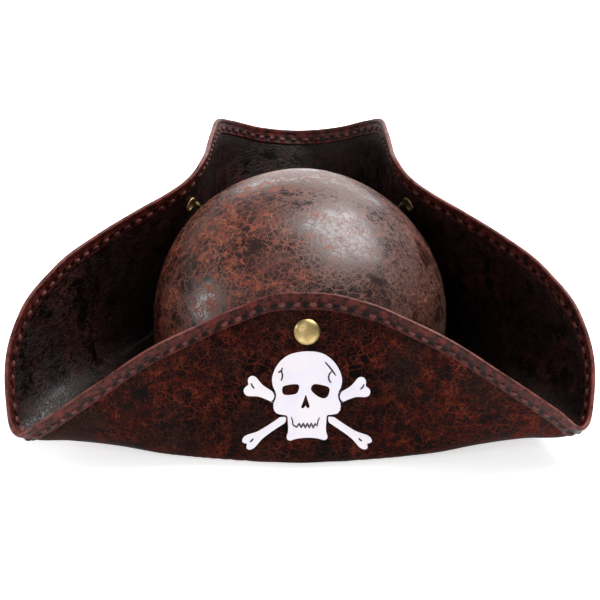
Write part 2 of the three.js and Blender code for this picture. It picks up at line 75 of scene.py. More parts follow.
# One row for each section of half the brim, as in the part within a millimetre: angle from the
# front in degrees, where the two runs of the section would meet, sharpness of that fold, the
# rim from the crown's wall at HUG_HEIGHT, the rim above HUG_HEIGHT, and its lift on the +X
# side. All but the angle and the sharpness are shares of BRIM_WIDTH.
FOLDS = np.array([
    # angle, fold out, fold rise, crisp, rim out, rim rise, lift
    (0, 0.28, -0.175, 2.2, -0.025, 0.195, 0.00),
    (10, 0.285, -0.175, 2.2, -0.015, 0.179, 0.01),
    (19, 0.33, -0.17, 2.2, 0.045, 0.137, 0.032),
    (28, 0.42, -0.155, 2.2, 0.20, 0.085, 0.05),
    (36, 0.51, -0.13, 2.2, 0.51, 0.01, 0.05),
    (43, 0.60, -0.09, 2.0, 0.76, -0.165, 0.06),
    (50, 0.72, -0.04, 2.0, 0.93, -0.365, 0.06),
    (55, 0.84, -0.01, 2.0, 1.00, -0.485, 0.035),
    (57.5, 0.86, 0.00, 2.0, 1.00, -0.46, 0.025),
    (60, 0.82, 0.00, 2.0, 0.98, -0.35, 0.01),
    (64, 0.73, 0.00, 2.0, 0.93, -0.205, 0.00),
    (70, 0.58, -0.03, 2.0, 0.80, -0.04, 0.00),
    (78, 0.43, -0.09, 2.0, 0.60, 0.07, 0.00),
    (90, 0.30, -0.15, 2.0, 0.38, 0.13, 0.00),
    (103, 0.21, -0.18, 2.0, 0.17, 0.20, 0.00),
    (114, 0.15, -0.195, 2.2, 0.05, 0.245, 0.00),
    (124, 0.145, -0.19, 2.4, -0.02, 0.30, 0.00),
    (134, 0.145, -0.17, 2.2, -0.01, 0.34, 0.00),
    (146, 0.19, -0.11, 1.9, 0.14, 0.325, 0.00),
    (155, 0.30, -0.06, 1.6, 0.38, 0.305, 0.00),
    (160, 0.36, -0.03, 1.4, 0.57, 0.28, 0.00),
    (164, 0.38, 0.00, 1.3, 0.66, 0.22, 0.00),
    (172, 0.40, 0.02, 1.2, 0.79, 0.10, 0.00),
    (180, 0.41, 0.04, 1.2, 0.87, 0.04, 0.00),
])

# The leather is pared thinner toward the rim.
RIM_LEATHER = 1.0 * MM
PARED_WIDTH = 18 * MM

# The binding's face: distance from the rim and height over the leather, in millimetres.
BAND = np.array([
    (9.3, 0.10),
    (9.25, 0.55),
    (8.9, 0.75),
    (8.2, 0.75),
    (7.4, 0.7),
    (6.6, 0.7),
    (5.8, 0.7),
    (5.0, 0.7),
    (4.2, 0.65),
    (3.2, 0.5),
    (2.3, 0.55),
    (1.5, 0.8),
    (0.8, 0.95),
    (0.2, 0.95),
]) * MM
EDGE_BEYOND = 1.1 * MM
EDGE_STEPS = 7
BINDING_DEPTH = 10 * MM
LINING = np.array((9.2, 4.5, 0.0)) * MM           # the binding's inner side, from the rim
LINING_AIR = 0.06 * MM
STITCH_PITCH = 9 * MM
STITCH_LINE = 6.2 * MM
STITCH_SIZE = np.array((2.3, 1.35, 0.7)) * MM     # half length, half width, half height
STITCH_SEAT = 0.8 * MM                            # middle of the thread over the leather
PUCKER = 0.585 * MM                               # how deep the thread draws the band in
PUCKER_REACH = 1.7 * MM
THINNEST_BAND = 0.1 * MM

# The snaps: name, degrees round the crown, leather between cap and binding over the diameter
CAP_DIAMETER = 15.5 * MM
SNAPS = (("front", -2.5, 0.29), ("left", 127, 0.32), ("right", -127, 0.32))
SNAP_AROUND = 48
DOME_STEPS = 14
DOME_SWEEP = 78                                   # degrees from the cap's top to its edge
SEAT = 0.1 * MM                                   # air left between metal and leather
# The stretch of flap looked over for the height of a cap's seat
SEAT_TURN = 8                                     # degrees to either side
SEAT_SHARE = 0.12                                 # shares of the section up and down
SEAT_STEPS = 40
SEAT_DEPTH = 20 * MM                              # leather further off is another fold
POST_RADIUS = 1.8 * MM
# The cap, in millimetres: radius over the cap's, height over its seat
CAP_EDGE = np.array([(0.99, 0.62), (1.0, 0.4), (0.99, 0.16), (0.96, 0.0)])
CAP_RISE = (0.75, 3.1)                            # height of the dome's foot and top
DOME_FOOT = 0.965                                 # radius of the dome's foot over the cap's
# The socket disc behind the flap, in millimetres: radius, depth under its seat
SOCKET = np.array([
    (1.8, 0), (4.7, 0), (5.0, 0.2), (5.0, 0.7), (4.7, 0.95), (3.8, 1.05), (3.4, 0.8), (3.3, 0.3), (0, 0.3),
])
SOCKET_REACH = 6.25 * MM                          # leather that the socket has to clear
# The stud: its flange on the crown and its washer inside, in millimetres
FLANGE = np.array([(1.5, 1.3), (3.6, 1.15), (3.9, 0.9), (3.9, 0.5), (3.6, 0.3), (1.8, 0.3)])
WASHER = np.array([(1.8, 0), (4.2, 0), (4.5, 0.2), (4.5, 0.6), (4.2, 0.8), (0, 0.8)])
WASHER_ROOM = 0.9 * MM
BUTTON = np.array([(0, 0), (1.5, 0), (1.8, 0.3), (1.8, 0.7)])
BUTTON_ROOM = 1.5 * MM                            # from the socket's seat to the button
SHORTEST_BUTTON = 1.5 * MM
BUTTON_TILT = 2.5 * MM                            # how far a tilted button reaches, at most

# The badge
VINYL = 0.45 * MM
VINYL_SEAT = 0.02 * MM                            # air under the vinyl
INK_SUNK = 0.1 * MM
INK_PROUD = 0.04 * MM
BADGE_X = 4.5 * MM
BADGE_DROP = 2.9 * MM
BADGE_FOOT = 9.3 * MM
BADGE_GRID = 1.6 * MM
BADGE_LINE = 1.05 * MM


# Shapes
def smooth_rows(rows):
    """Slope of every column at every row: the chords on either side, each weighted by the
    other's span."""
    span = np.diff(rows[:, 0])
    chord = np.diff(rows[:, 1:], axis=0) / span[:, None]
    slope = np.zeros_like(rows[:, 1:])
    weighted = chord[:-1] * span[1:, None] + chord[1:] * span[:-1, None]
    slope[1:-1] = weighted / (span[1:] + span[:-1])[:, None]
    return slope


BEFORE = FOLDS[1] * np.array((-1, 1, 1, 1, 1, 1, 1))
AFTER = np.array((360, 0, 0, 0, 0, 0, 0)) + FOLDS[-2] * np.array((-1, 1, 1, 1, 1, 1, 1))
ROWS = np.vstack((BEFORE, FOLDS, AFTER))
SLOPES = smooth_rows(ROWS)


def fold_columns(angle):
    """Columns of the fold table at any angle, along a cubic between neighbouring rows that
    has the slopes of smooth_rows at both."""
    at = np.abs(angle)
    k = np.clip(np.searchsorted(ROWS[:, 0], at, side="right") - 1, 1, len(ROWS) - 3)
    span = ROWS[k + 1, 0] - ROWS[k, 0]
    s = ((at - ROWS[k, 0]) / span)[..., None]
    span = span[..., None]
    start = (2 * s ** 3 - 3 * s ** 2 + 1) * ROWS[k, 1:]
    leave = (s ** 3 - 2 * s ** 2 + s) * span * SLOPES[k]
    end = (3 * s ** 2 - 2 * s ** 3) * ROWS[k + 1, 1:]
    arrive = (s ** 3 - s ** 2) * span * SLOPES[k + 1]
    return np.moveaxis(start + leave + end + arrive, -1, 0)


def crown_radius(angle):
    """Distance from the middle to the crown's wall in plan, which is an ellipse."""
    turn = np.radians(angle)
    return 1 / np.hypot(np.sin(turn) / (CROWN_WIDTH / 2), np.cos(turn) / (CROWN_LENGTH / 2))


def dome_share(height):
    """Share of the wall's plan size left at a height above the seam: a quarter circle over
    the upright wall."""
    rise = np.clip((height - CROWN_UPRIGHT) / (CROWN_HEIGHT - CROWN_UPRIGHT), 0, 1)
    return np.sqrt(1 - rise ** 2)


def brim_point(angle, share):
    """Middle of the brim's leather. Each upright section is a curve from the seam (share 0)
    to the rim (share 1) that is pulled to its fold with the weight crisp, and a low ripple
    runs round and up the flaps."""
    angle, share = np.broadcast_arrays(np.asarray(angle, float), np.asarray(share, float))
    fold_out, fold_rise, crisp, rim_out, rim_rise, lift = fold_columns(angle)
    rim_rise = rim_rise + np.where(angle < 0, lift, 0)
    base = crown_radius(angle)
    start = (1 - share) ** 2
    pull = 2 * crisp * share * (1 - share)
    end = share ** 2
    total = start + pull + end
    seam = base + GAP + LEATHER / 2
    fold = base + fold_out * BRIM_WIDTH
    rim = base * dome_share(HUG_HEIGHT) + rim_out * BRIM_WIDTH
    radius = (start * seam + pull * fold + end * rim) / total
    rise = (pull * fold_rise * BRIM_WIDTH + end * (HUG_HEIGHT + rim_rise * BRIM_WIDTH)) / total
    turn = np.radians(angle)
    wave = np.sin(7 * turn + 4 * share) + 0.7 * np.sin(13 * turn - 6 * share + 1.7)
    radius = radius + RIPPLE * share * wave
    return np.stack((-radius * np.sin(turn), MIDDLE_Y - radius * np.cos(turn), SEAM_Z + rise), -1)


def unit(vectors):
    """The same directions, one metre long."""
    return vectors / np.linalg.norm(vectors, axis=-1, keepdims=True)


def brim_normal(angle, share):
    """Direction across the leather, toward the crown: the way round times the way up."""
    angle, share = np.broadcast_arrays(np.asarray(angle, float), np.asarray(share, float))
    turn, step = 0.4, 0.01
    around = brim_point(angle + turn, share) - brim_point(angle - turn, share)
    above, below = np.minimum(1, share + step), np.maximum(0, share - step)
    up = brim_point(angle, above) - brim_point(angle, below)
    return unit(np.cross(around, up))


def brim_face(angle, share, offset):
    """Point at an offset from the middle of the leather, toward the crown."""
    return brim_point(angle, share) + brim_normal(angle, share) * np.asarray(offset)[..., None]


def leather_along(angles):
    """Shares of each section at even steps, and the distance from the rim to each."""
    shares = np.linspace(1, 0, RIM_SAMPLES + 1)
    points = brim_point(angles[:, None], shares[None])
    steps = np.linalg.norm(np.diff(points, axis=1), axis=-1)
    travelled = np.concatenate((np.zeros((len(angles), 1)), np.cumsum(steps, axis=1)), axis=1)
    return shares, travelled


def shares_from_rim(angles, distances):
    """Shares of each section that lie at given distances from the rim along the leather."""
    _, travelled = leather_along(angles)
    distances = np.broadcast_to(distances, (len(angles), np.shape(distances)[-1]))
    k = np.clip((travelled[:, None, :] < distances[:, :, None]).sum(-1), 1, RIM_SAMPLES)
    before = np.take_along_axis(travelled, k - 1, 1)
    after = np.take_along_axis(travelled, k, 1)
    part = np.clip((distances - before) / (after - before), 0, 1)
    return 1 - (k - 1 + part) / RIM_SAMPLES


def half_leather(distance):
    """Half the leather's thickness, which eases from the rim's to the whole over the pared
    width."""
    part = np.clip(distance / PARED_WIDTH, 0, 1)
    ease = part ** 2 * (3 - 2 * part)
    return RIM_LEATHER / 2 + (LEATHER - RIM_LEATHER) / 2 * ease


def rim_stations(per_stitch):
    """Angles of stations spread evenly along the rim, a whole number of stitches round."""
    fine = np.linspace(-180, 180, 7201)
    rim = brim_point(fine, 1.0)
    travelled = np.concatenate(([0], np.cumsum(np.linalg.norm(np.diff(rim, axis=0), axis=1))))
    stitches = round(travelled[-1] / STITCH_PITCH)
    count = stitches * per_stitch
    places = (np.arange(count) + 0.5) / count * travelled[-1]
    return np.interp(places, travelled, fine)


def grid_faces(rows, columns, close_rows, close_columns):
    """Four-cornered faces of a grid of points, row by row."""
    i = np.arange(rows if close_rows else rows - 1)[:, None]
    k = np.arange(columns if close_columns else columns - 1)[None]
    here, there = i * columns, (i + 1) % rows * columns
    right = (k + 1) % columns
    return np.stack((here + k, there + k, there + right, here + right), -1).reshape(-1, 4)


def make_piece(name, points, faces, smooth=True):
    """Puts a mesh with these points and faces into the scene, in place."""
    mesh = bpy.data.meshes.new(name)
    mesh.from_pydata(np.asarray(points).reshape(-1, 3).tolist(), [], [list(f) for f in faces])
    mesh.update()
    mesh.polygons.foreach_set("use_smooth", [smooth] * len(mesh.polygons))
    piece = bpy.data.objects.new(name, mesh)
    bpy.context.scene.collection.objects.link(piece)
    return piece


def capped_faces(rings, size):
    """Faces of a body of rings with a point before the first and after the last."""
    quads = grid_faces(rings, size, False, True) + 1
    k = np.arange(size)
    m = (k + 1) % size
    first = np.stack((np.zeros(size, int), 1 + k, 1 + m), -1)
    tail = rings * size
    last = np.stack((tail - size + 1 + k, np.full(size, tail + 1), tail - size + 1 + m), -1)
    return quads.tolist() + first.tolist() + last.tolist()


def finish_piece(piece, materials, nodes):
    """Gives a piece its finishes and its body, and hides the imported parts that it stands for."""
    for material in materials:
        piece.data.materials.append(material)
    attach(piece, "root")
    if nodes:
        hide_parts(*nodes)


# Crown
def crown_ring_points(inset, around, heights, shares):
    """Rings of the crown: an ellipse whose half axes are the crown's less the inset, times a
    share for each height, with low dents that fade toward the top and the hem."""
    turn = np.linspace(0, 2 * np.pi, around, endpoint=False)[None]
    share, height = shares[:, None], heights[:, None]
    fade = np.clip((height + CROWN_HEM) / DENT_FADE, 0, 1) * np.clip(share * 3, 0, 1)
    dent = np.sin(3 * turn + 0.6 + 30 * height) + 0.6 * np.sin(5 * turn - 1.1 - 45 * height)
    grow = fade * dent * CROWN_DENT
    x = ((CROWN_WIDTH / 2 - inset) * share + grow) * np.cos(turn)
    y = ((CROWN_LENGTH / 2 - inset) * share + grow) * np.sin(turn)
    z = np.broadcast_to(SEAM_Z + height, x.shape)
    return np.stack((x, MIDDLE_Y + y, z), -1)


def build_crown(materials):
    """Outer and inner face of the dome, joined along the hem."""
    around, steps, wall_steps = 176, 52, 8
    bend = np.radians(np.linspace(0, 90, steps + 1)[1:])
    wall = np.linspace(CROWN_UPRIGHT, -CROWN_HEM, wall_steps + 1)[1:]
    dome = CROWN_HEIGHT - CROWN_UPRIGHT
    shares = np.concatenate((np.sin(bend), np.ones(wall_steps)))
    outer_heights = np.concatenate((CROWN_UPRIGHT + dome * np.cos(bend), wall))
    outer = crown_ring_points(0, around, outer_heights, shares)
    inner_heights = np.concatenate((CROWN_UPRIGHT + (dome - LEATHER) * np.cos(bend), wall))
    inner = crown_ring_points(LEATHER, around, inner_heights, shares)[::-1]
    top = np.array([[0, MIDDLE_Y, SEAM_Z + CROWN_HEIGHT]])
    under = top - np.array([[0, 0, LEATHER]])
    rings = np.concatenate((outer, inner))
    points = np.concatenate((top, rings.reshape(-1, 3), under))
    piece = make_piece("crown_leather_shell", points, capped_faces(len(rings), around))
    finish_piece(piece, materials, ["crown"])


# Brim
def tucked_in(points, angles):
    """A row of points moved level to just inside the crown's outer face, where the seam is."""
    turn = np.radians(angles)
    radius = crown_radius(angles) - SEAM_TUCK
    return np.stack((-radius * np.sin(turn), MIDDLE_Y - radius * np.cos(turn), points[:, 2]), -1)


def build_brim(materials):
    """The brim's leather: its inner face from seam to rim, then its outer face back."""
    angles = rim_stations(4)
    _, travelled = leather_along(angles)
    distances = travelled[:, -1:] * np.linspace(1, 0, BRIM_ROWS)[None]
    shares = shares_from_rim(angles, distances)
    half = half_leather(distances)
    inner = brim_face(angles[:, None], shares, half)
    outer = brim_face(angles[:, None], shares, -half)[:, ::-1]
    inner[:, 0] = tucked_in(inner[:, 0], angles)
    outer[:, -1] = tucked_in(outer[:, -1], angles)
    loops = np.concatenate((inner, outer), axis=1)
    faces = grid_faces(len(angles), 2 * BRIM_ROWS, True, True)
    piece = make_piece("brim_leather_sheet", loops, faces)
    column = faces[:, 0] % (2 * BRIM_ROWS)
    inside = (column < BRIM_ROWS - 1) | (column == 2 * BRIM_ROWS - 1)
    piece.data.polygons.foreach_set("material_index", inside.astype(int))
    finish_piece(piece, materials, ["brim"])


def mark_points(piece, name, values):
    """Stores one number for each point of a piece, for its finish."""
    layer = piece.data.attributes.new(name, "FLOAT", "POINT")
    layer.data.foreach_set("value", np.asarray(values, float).ravel())


def build_binding(material):
    """A strip folded over the rim: the band's section on the inner face, a half ellipse
    round the edge, the band again on the outer face, and the lining back along the leather.
    The thread draws the band in beside each stitch."""
    angles = rim_stations(STATIONS_PER_STITCH)
    phase = (np.arange(len(angles)) + 0.5) / STATIONS_PER_STITCH
    between = (0.5 + 0.5 * np.cos(2 * np.pi * phase))[:, None] ** 1.5
    distances = BAND[:, 0]
    near_thread = np.exp(-((distances - STITCH_LINE) / PUCKER_REACH) ** 2)[None]
    pit_and_painted_shade = between * near_thread
    leather = half_leather(distances)[None]
    height = np.maximum(leather + BAND[:, 1][None] - PUCKER * pit_and_painted_shade, leather + THINNEST_BAND)
    shares = shares_from_rim(angles, distances)
    inner = brim_face(angles[:, None], shares, height)
    outer = brim_face(angles[:, None], shares, -height)[:, ::-1]
    rim = brim_point(angles, 1.0)
    across = brim_normal(angles, 1.0)
    outward = unit(rim - brim_point(angles, 0.99))
    bend = np.radians(np.linspace(90, -90, EDGE_STEPS + 2)[1:-1])[None, :, None]
    half = RIM_LEATHER / 2 + BAND[-1, 1]
    edge = rim[:, None] + outward[:, None] * EDGE_BEYOND * np.cos(bend)
    edge = edge + across[:, None] * half * np.sin(bend)
    lining_shares = shares_from_rim(angles, LINING)
    lining_half = (half_leather(LINING) + LINING_AIR)[None]
    outer_lining = brim_face(angles[:, None], lining_shares, -lining_half)
    inner_lining = brim_face(angles[:, None], lining_shares, lining_half)[:, ::-1]
    loops = np.concatenate((inner, edge, outer, outer_lining, inner_lining), axis=1)
    faces = grid_faces(len(angles), loops.shape[1], True, True)
    piece = make_piece("edge_binding_strip", loops, faces)
    bare = np.zeros((len(angles), len(LINING) * 2))
    # The pits are stored for painted shade in the finish.
    shade = np.concatenate((pit_and_painted_shade, np.zeros((len(angles), EDGE_STEPS)), pit_and_painted_shade[:, ::-1], bare), axis=1)
    # The top of the rolled edge is stored for rubbing that is partly a painted highlight.
    ridge = np.broadcast_to(np.cos(bend[0, :, 0]) ** 2, (len(angles), EDGE_STEPS))
    worn = np.concatenate((pit_and_painted_shade * 0, ridge, pit_and_painted_shade * 0, bare), axis=1)
    mark_points(piece, "pit_and_painted_shade", shade)
    mark_points(piece, "worn", worn)
    finish_piece(piece, [material], ["edge_binding"])


def build_stitches(material):
    """Thread stitches on both faces of the band. Each is a bar of oval section whose ends
    taper and dive into the band, carried to every station of the stitch row."""
    angles = rim_stations(1)
    share = shares_from_rim(angles, np.array([STITCH_LINE]))[:, 0]
    along = unit(brim_point(angles + 0.3, share) - brim_point(angles - 0.3, share))
    normal = brim_normal(angles, share)
    side = np.cross(normal, along)
    rings, around = 5, 6
    u = np.linspace(-1, 1, rings)[:, None]
    v = np.linspace(0, 2 * np.pi, around, endpoint=False)[None]
    taper = (1 - 0.7 * np.abs(u) ** 4) ** 0.5
    length, width, rise = STITCH_SIZE
    sections = (u * length, taper * width * np.cos(v), taper * rise * np.sin(v))
    bar = np.stack(np.broadcast_arrays(*sections), -1)
    bar[..., 2] -= np.abs(u) ** 3 * rise * 0.8
    ends = np.array(((-length * 1.04, 0, -rise * 0.8), (length * 1.04, 0, -rise * 0.8)))
    bar = np.concatenate((ends[:1], bar.reshape(-1, 3), ends[1:]))
    seat_height = np.full_like(share, half_leather(STITCH_LINE) + STITCH_SEAT)
    bars = []
    for direction in (1, -1):
        seat = brim_face(angles, share, direction * seat_height)
        axes = np.stack((along, side * direction, normal * direction), 1)
        bars.append(np.einsum("pk,skj->spj", bar, axes) + seat[:, None])
    points = np.concatenate(bars)
    one = capped_faces(rings, around)
    starts = range(0, points.shape[0] * len(bar), len(bar))
    faces = [[start + corner for corner in face] for start in starts for face in one]
    piece = make_piece("binding_stitches", points, faces)
    finish_piece(piece, [material], [])


# Snaps
def turned_points(profile, around):
    """Rings of a body turned about an axis, from radius and height pairs: the radius times
    the cosine and sine of each step round, at the height."""
    turn = np.linspace(0, 2 * np.pi, around, endpoint=False)[None]
    radius, height = profile[1:-1, 0][:, None], profile[1:-1, 1][:, None]
    rings = np.stack(np.broadcast_arrays(radius * np.cos(turn), radius * np.sin(turn), height), -1)
    ends = np.array(((0, 0, profile[0, 1]), (0, 0, profile[-1, 1])))
    return np.concatenate((ends[:1], rings.reshape(-1, 3), ends[1:]))


def axes_along(direction):
    """Three directions at right angles, the last along the given one."""
    side = unit(np.cross(np.array((0.0, 0.0, 1.0)), direction))
    return np.stack((side, np.cross(direction, side), direction))


def stand_off(points, middle, direction, radius):
    """How far points within a disc rise over its middle along its axis."""
    reach = points - middle
    up = reach @ direction
    near = (reach ** 2).sum(-1) - up ** 2 < radius ** 2
    return up[near & (np.abs(up) < SEAT_DEPTH)].max()


def dome_behind(point, direction):
    """Where a line meets the dome, found by halving, and the dome's direction there."""
    axes = np.array((CROWN_WIDTH / 2, CROWN_LENGTH / 2, CROWN_HEIGHT - CROWN_UPRIGHT))
    centre = np.array((0, MIDDLE_Y, SEAM_Z + CROWN_UPRIGHT))
    near, far = 0.0, CROWN_WIDTH / 4
    for _ in range(40):
        middle = (near + far) / 2
        outside = np.linalg.norm((point + direction * middle - centre) / axes) > 1
        if outside:
            near = middle
        else:
            far = middle
    foot = point + direction * near
    return foot, unit((foot - centre) / axes ** 2)


def turned_piece(name, profile, direction, place, material, node):
    """Body turned about an axis through a place, from a profile in metres."""
    points = turned_points(profile, SNAP_AROUND) @ axes_along(direction) + place
    piece = make_piece(name, points, capped_faces(len(profile) - 2, SNAP_AROUND))
    finish_piece(piece, [material], [node])


def cap_profile(under, over):
    """Cap, post and socket disc, from the cap's top to the socket's floor. The dome is a
    circle's arc stretched to the cap's rise. The cap sits at the height under on the outer
    face, and the socket at the depth over behind it."""
    radius = CAP_DIAMETER / 2
    bend = np.radians(np.linspace(0, DOME_SWEEP, DOME_STEPS))
    foot, top = np.array(CAP_RISE) * MM
    lift = (np.cos(bend) - np.cos(bend[-1])) / (1 - np.cos(bend[-1]))
    reach = radius * DOME_FOOT * np.sin(bend) / np.sin(bend[-1])
    dome = np.stack((reach, under + foot + (top - foot) * lift), -1)
    edge = CAP_EDGE * (radius, MM) + (0, under)
    post = np.array([(POST_RADIUS, under)])
    socket = SOCKET * (MM, -MM) - (0, over)
    return np.concatenate((dome, edge, post, socket))


def stud_profile(button):
    """Button, stem and flange on the crown's face, and the washer on the inner face."""
    top = BUTTON * (MM, -MM) + (0, button)
    washer = WASHER * (MM, -MM) - (0, LEATHER + WASHER_ROOM)
    return np.concatenate((top, FLANGE * MM, washer))


def build_snap(name, angle, margin, material, stud_painted_shade_brass):
    """Cap and socket through the flap, and the stud where the cap's axis meets the crown.
    Returns the middle of the leather under the cap."""
    drop = BINDING_DEPTH + (margin + 0.5) * CAP_DIAMETER
    share = shares_from_rim(np.array([float(angle)]), np.array([drop]))[0, 0]
    middle = brim_point(angle, share)
    inward = brim_normal(angle, share)
    near_angles = np.linspace(angle - SEAT_TURN, angle + SEAT_TURN, SEAT_STEPS)[:, None]
    near_shares = np.linspace(share - SEAT_SHARE, min(1, share + SEAT_SHARE), SEAT_STEPS)[None]
    outer = brim_face(near_angles, near_shares, -LEATHER / 2).reshape(-1, 3)
    inner = brim_face(near_angles, near_shares, LEATHER / 2).reshape(-1, 3)
    under = stand_off(outer, middle, -inward, CAP_DIAMETER / 2) + SEAT
    over = stand_off(inner, middle, inward, SOCKET_REACH) + SEAT
    profile = cap_profile(under, over)
    turned_piece(f"snap_cap_{name}_turned", profile, -inward, middle, material, f"snap_cap_{name}")

    foot, normal = dome_behind(middle, inward)
    tilt = BUTTON_TILT * np.sin(np.arccos(np.clip(-normal @ inward, -1, 1)))
    reach = np.linalg.norm(foot - middle) - over - BUTTON_ROOM
    profile = stud_profile(max(reach - tilt, SHORTEST_BUTTON))
    # The stud wears the darker copy of the brass, which is painted shade.
    turned_piece(f"snap_stud_{name}_turned", profile, normal, foot, stud_painted_shade_brass, f"snap_stud_{name}")
    return middle


# Badge
def flap_point(x, height, offset):
    """Point of the flap's outer face in front of x, at a height above the seam: the share is
    found by halving, and the angle follows from the radius found."""
    radius = np.full_like(x, CROWN_LENGTH / 2)
    for _ in range(6):
        angle = np.degrees(np.arcsin(np.clip(-x / radius, -1, 1)))
        low = np.full_like(x, FOLD_SHARE)
        high = np.ones_like(x)
        for _ in range(26):
            share = (low + high) / 2
            below = brim_point(angle, share)[..., 2] < SEAM_Z + height
            low = np.where(below, share, low)
            high = np.where(below, high, share)
        place = brim_point(angle, share)
        radius = np.hypot(place[..., 0], place[..., 1] - MIDDLE_Y)
    return brim_face(angle, share, np.full_like(x, -offset))


def curve_through(points, per_span):
    """Closed smooth curve through points: a cubic between neighbours whose slope at a point
    is half the chord between the points beside it."""
    p = np.asarray(points, float)
    before, after, later = np.roll(p, 1, 0), np.roll(p, -1, 0), np.roll(p, -2, 0)
    s = (np.arange(per_span) / per_span)[None, :, None]
    leave = (after - before)[:, None] / 2
    arrive = (later - p)[:, None] / 2
    here, there = p[:, None], after[:, None]
    curve = (2 * s ** 3 - 3 * s ** 2 + 1) * here + (s ** 3 - 2 * s ** 2 + s) * leave
    curve = curve + (3 * s ** 2 - 2 * s ** 3) * there + (s ** 3 - s ** 2) * arrive
    return curve.reshape(-1, 2)


def within(points, outline):
    """Whether points lie inside an outline: an odd number of its edges lies to their right."""
    a, b = outline[None], np.roll(outline, -1, 0)[None]
    x, y = points[:, None, 0], points[:, None, 1]
    crosses = (a[..., 1] > y) != (b[..., 1] > y)
    with np.errstate(divide="ignore", invalid="ignore"):
        at = a[..., 0] + (y - a[..., 1]) * (b[..., 0] - a[..., 0]) / (b[..., 1] - a[..., 1])
    return (crosses & (x < at)).sum(1) % 2 == 1


def on_sheet(points, outline, holes):
    """Whether points lie inside an outline and outside all its holes."""
    keep = within(points, outline)
    for hole in holes:
        keep &= ~within(points, hole)
    return keep


def cut_sheet(name, outline, holes, under, over):
    """Thin sheet that follows the flap: an outline with holes, filled with triangles over a
    grid of inner points, as a lower and an upper face joined along every cut edge."""
    loops = [outline] + list(holes)
    low, high = outline.min(0), outline.max(0)
    across, up = (np.arange(low[k], high[k], BADGE_GRID) for k in range(2))
    grid = np.stack(np.meshgrid(across, up), -1).reshape(-1, 2)
    grid = grid[on_sheet(grid, outline, holes)]
    edge_points = np.concatenate(loops)
    if len(grid):
        apart = np.linalg.norm(grid[:, None] - edge_points[None], axis=-1).min(1)
        grid = grid[apart > BADGE_GRID * 0.45]
    flat = np.concatenate((edge_points, grid))
    edges, base = [], 0
    for loop in loops:
        n = len(loop)
        edges += [(base + k, base + (k + 1) % n) for k in range(n)]
        base += n
    verts, _, triangles, *_ = delaunay_2d_cdt([Vector(p / MM) for p in flat], edges, [], 0, 1e-5)
    flat = np.array([tuple(v) for v in verts]) * MM
    triangles = np.array(triangles)
    triangles = triangles[on_sheet(flat[triangles].mean(1), outline, holes)]
    a, b, c = (flat[triangles[:, k]] for k in range(3))
    turned = (b - a)[:, 0] * (c - a)[:, 1] - (b - a)[:, 1] * (c - a)[:, 0] < 0
    triangles[turned] = triangles[turned][:, ::-1]
    used, triangles = np.unique(triangles, return_inverse=True)
    triangles = triangles.reshape(-1, 3)
    flat = flat[used]
    top = flap_point(flat[:, 0], flat[:, 1], over)
    bottom = flap_point(flat[:, 0], flat[:, 1], under)
    count = len(flat)
    pairs = np.concatenate([triangles[:, [k, (k + 1) % 3]] for k in range(3)])
    codes = pairs[:, 0] * count + pairs[:, 1]
    rim = pairs[~np.isin(codes, pairs[:, 1] * count + pairs[:, 0])]
    walls = np.stack((rim[:, 1], rim[:, 0], rim[:, 0] + count, rim[:, 1] + count), -1)
    faces = triangles.tolist() + (triangles[:, ::-1] + count).tolist() + walls.tolist()
    return make_piece(name, np.concatenate((top, bottom)), faces, smooth=False)


# Half of the skull's outline from the top round to the chin: across over its width, down
# over its height.
SKULL_HALF = (
    (0.0, 0.0), (0.13, 0.010), (0.25, 0.042), (0.36, 0.105), (0.45, 0.20), (0.497, 0.31),
    (0.485, 0.40), (0.445, 0.47), (0.445, 0.53), (0.475, 0.59), (0.473, 0.655), (0.43, 0.70),
    (0.35, 0.712), (0.285, 0.722), (0.272, 0.79), (0.268, 0.89), (0.29, 0.965), (0.25, 1.0),
    (0.15, 0.978), (0.05, 0.966),
)
LEFT_EYE = (
    (-0.352, 0.42), (-0.335, 0.395), (-0.295, 0.382), (-0.215, 0.367), (-0.14, 0.364), (-0.112, 0.385),
    (-0.123, 0.436), (-0.158, 0.47), (-0.237, 0.486), (-0.317, 0.488), (-0.35, 0.462),
)
RIGHT_EYE = (
    (0.116, 0.364), (0.196, 0.375), (0.281, 0.394), (0.317, 0.421), (0.315, 0.468), (0.285, 0.512),
    (0.231, 0.527), (0.158, 0.505), (0.089, 0.463), (0.053, 0.42), (0.071, 0.378),
)
NOSE = (
    (-0.02, 0.482), (-0.05, 0.545), (-0.082, 0.611), (-0.071, 0.632), (-0.043, 0.623), (-0.023, 0.604),
    (-0.005, 0.621), (0.014, 0.63), (0.034, 0.612), (0.008, 0.545),
)
# Printed lines: across over the skull's width, down over its height.
SKULL_LINES = {
    "crack_left": ((-0.345, 0.188), (-0.363, 0.223), (-0.347, 0.268), (-0.352, 0.304), (-0.368, 0.336)),
    "crack_left_fork": ((-0.355, 0.218), (-0.38, 0.232), (-0.409, 0.246)),
    "crack_right": ((0.253, 0.123), (0.31, 0.173), (0.356, 0.218), (0.413, 0.28)),
    "crack_right_fork": ((0.356, 0.222), (0.315, 0.262), (0.304, 0.298), (0.317, 0.334), (0.345, 0.357)),
    "mouth": (
        (-0.226, 0.729), (-0.206, 0.771), (-0.199, 0.82), (-0.148, 0.845), (-0.112, 0.80), (-0.084, 0.85),
        (-0.055, 0.80), (-0.027, 0.852), (0.002, 0.80), (0.03, 0.852), (0.057, 0.80), (0.084, 0.855),
        (0.112, 0.805), (0.139, 0.835), (0.153, 0.775), (0.176, 0.739),
    ),
    "bone_upper_left": ((-0.80, 0.37), (-0.785, 0.405), (-0.751, 0.432)),
    "bone_upper_right": ((0.82, 0.37), (0.80, 0.405), (0.763, 0.432)),
    "bone_lower_left": ((-0.767, 0.995), (-0.79, 1.018), (-0.82, 1.039)),
    "bone_lower_right": ((0.737, 0.991), (0.762, 1.012), (0.79, 1.025)),
}
